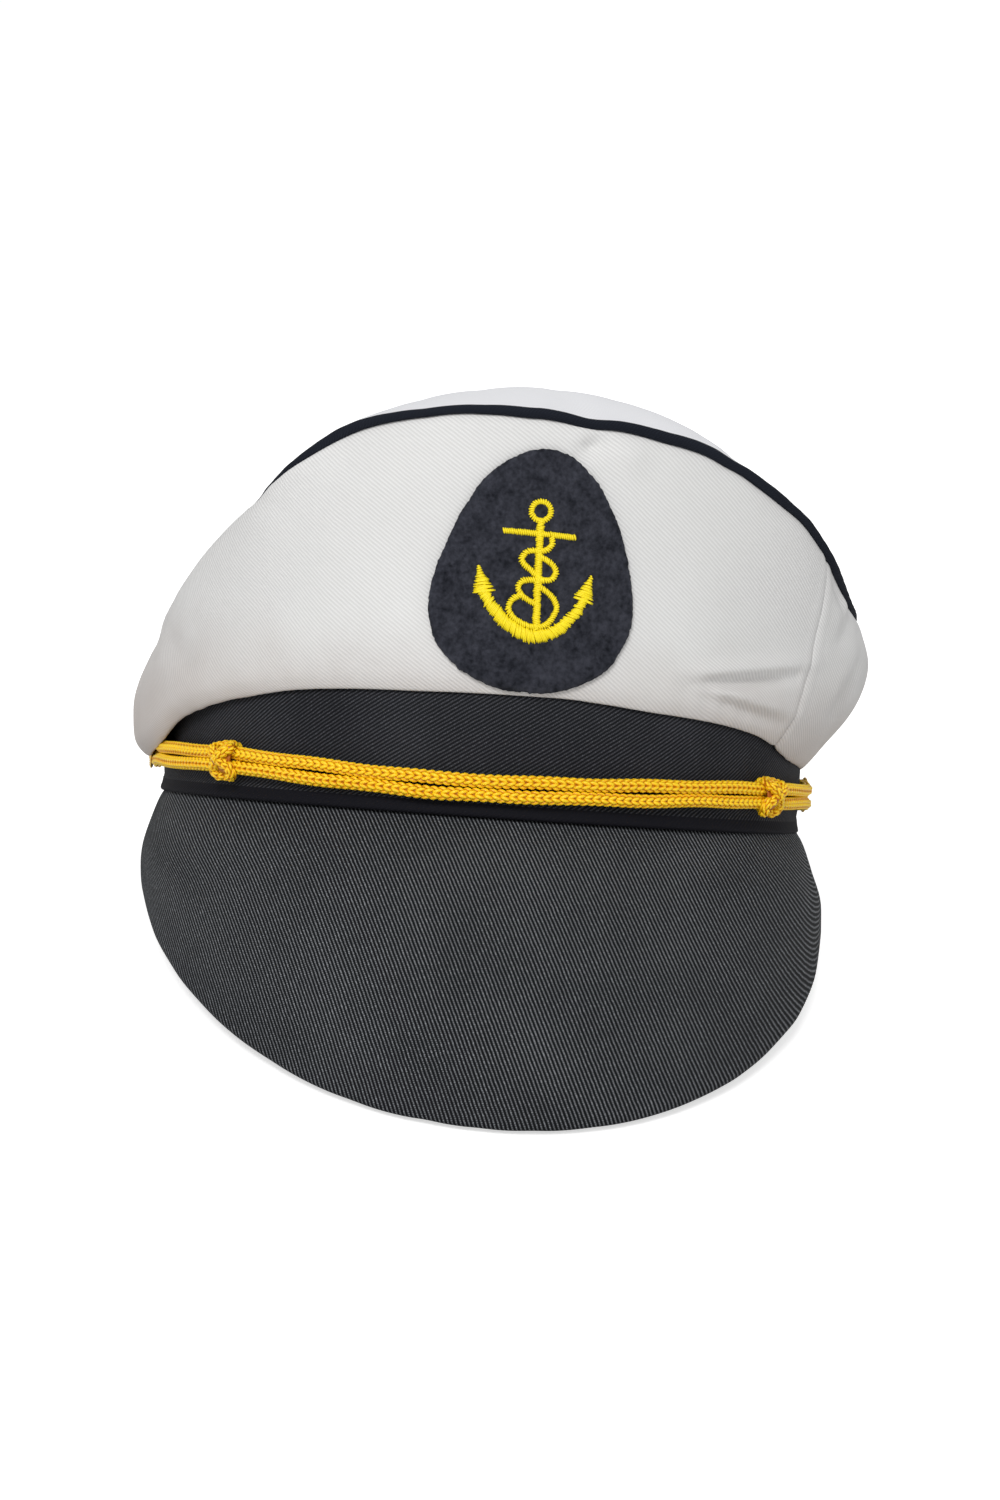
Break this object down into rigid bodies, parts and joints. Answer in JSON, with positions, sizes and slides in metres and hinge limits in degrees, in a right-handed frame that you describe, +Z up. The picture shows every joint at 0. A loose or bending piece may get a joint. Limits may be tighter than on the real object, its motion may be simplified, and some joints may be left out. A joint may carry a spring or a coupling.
{
  "type": "military peaked cap",
  "caption": "Soft white-topped peaked cap with dark band, twill visor, piped crown, gold slide-knot chin cord, side buttons and an embroidered anchor patch.",
  "frame": {"origin": "middle of the bounding box at the table the cap rests on", "axes": "-Y is the cap's front, +Z up from the table, X across the cap; the cap rests on the visor's edge and the back of the band, so its head axis leans back 15.65 degrees from +Z"},
  "size_m": [0.21, 0.2887, 0.1569],
  "materials": {
    "band_cloth": "matt fine twill",
    "stiffener": "matt",
    "sweatband": "matt tape",
    "white_twill": "matt twill",
    "buckram": "open stiffened weave",
    "lining": "smooth lining cloth",
    "piping": "matt",
    "filler_cord": "twisted cotton",
    "visor_cloth": "matt twill",
    "visor_board": "matt",
    "gold_cord": "satin braid",
    "gold_button": "polished",
    "washer": "bright",
    "felt": "felt",
    "backing": "fusible web",
    "yellow_thread": "satin stitch"
  },
  "bodies": {
    "cap": {"band_cover": "band_cloth", "band_stiffener": "stiffener", "sweatband": "sweatband", "crown_front_panel": "white_twill", "crown_right_panel": "white_twill", "crown_left_panel": "white_twill", "crown_top_panel": "white_twill", "front_stiffener": "buckram", "crown_lining_side": "lining", "crown_lining_top": "lining", "piping_cover": "piping", "piping_cord": "filler_cord", "visor_top_cover": "visor_cloth", "visor_board": "visor_board", "visor_under_cover": "visor_cloth", "left_button_washer": "washer", "right_button_washer": "washer", "badge_felt": "felt", "badge_backing": "backing", "badge_anchor": "yellow_thread", "badge_rope": "yellow_thread"},
    "chin_cord": {"chin_cord": "gold_cord"},
    "left_slide_knot": {"left_slide_knot": "gold_cord"},
    "right_slide_knot": {"right_slide_knot": "gold_cord"},
    "left_button": {"left_button": "gold_button"},
    "right_button": {"right_button": "gold_button"}
  },
  "joints": [
    {"name": "chin_cord_swing", "type": "hinge", "parent": "cap", "child": "chin_cord", "pos_m": [0, 0.0235, 0.03758], "axis": [1, 0, 0], "range_deg": [-3, 1]},
    {"name": "left_knot_slide", "type": "hinge", "parent": "chin_cord", "child": "left_slide_knot", "pos_m": [0, 0.00314, 0.04273], "axis": [0, 0.2453, 0.9694], "range_deg": [-0.5, 12]},
    {"name": "right_knot_slide", "type": "hinge", "parent": "chin_cord", "child": "right_slide_knot", "pos_m": [0, 0.00314, 0.04273], "axis": [0, 0.2453, 0.9694], "range_deg": [-12, 0.5]},
    {"name": "left_button_spin", "type": "hinge", "parent": "cap", "child": "left_button", "pos_m": [-0.0885, 0.0235, 0.03758], "axis": [1, 0, 0], "continuous": true},
    {"name": "right_button_spin", "type": "hinge", "parent": "cap", "child": "right_button", "pos_m": [0.0885, 0.0235, 0.03758], "axis": [1, 0, 0], "continuous": true}
  ]
}
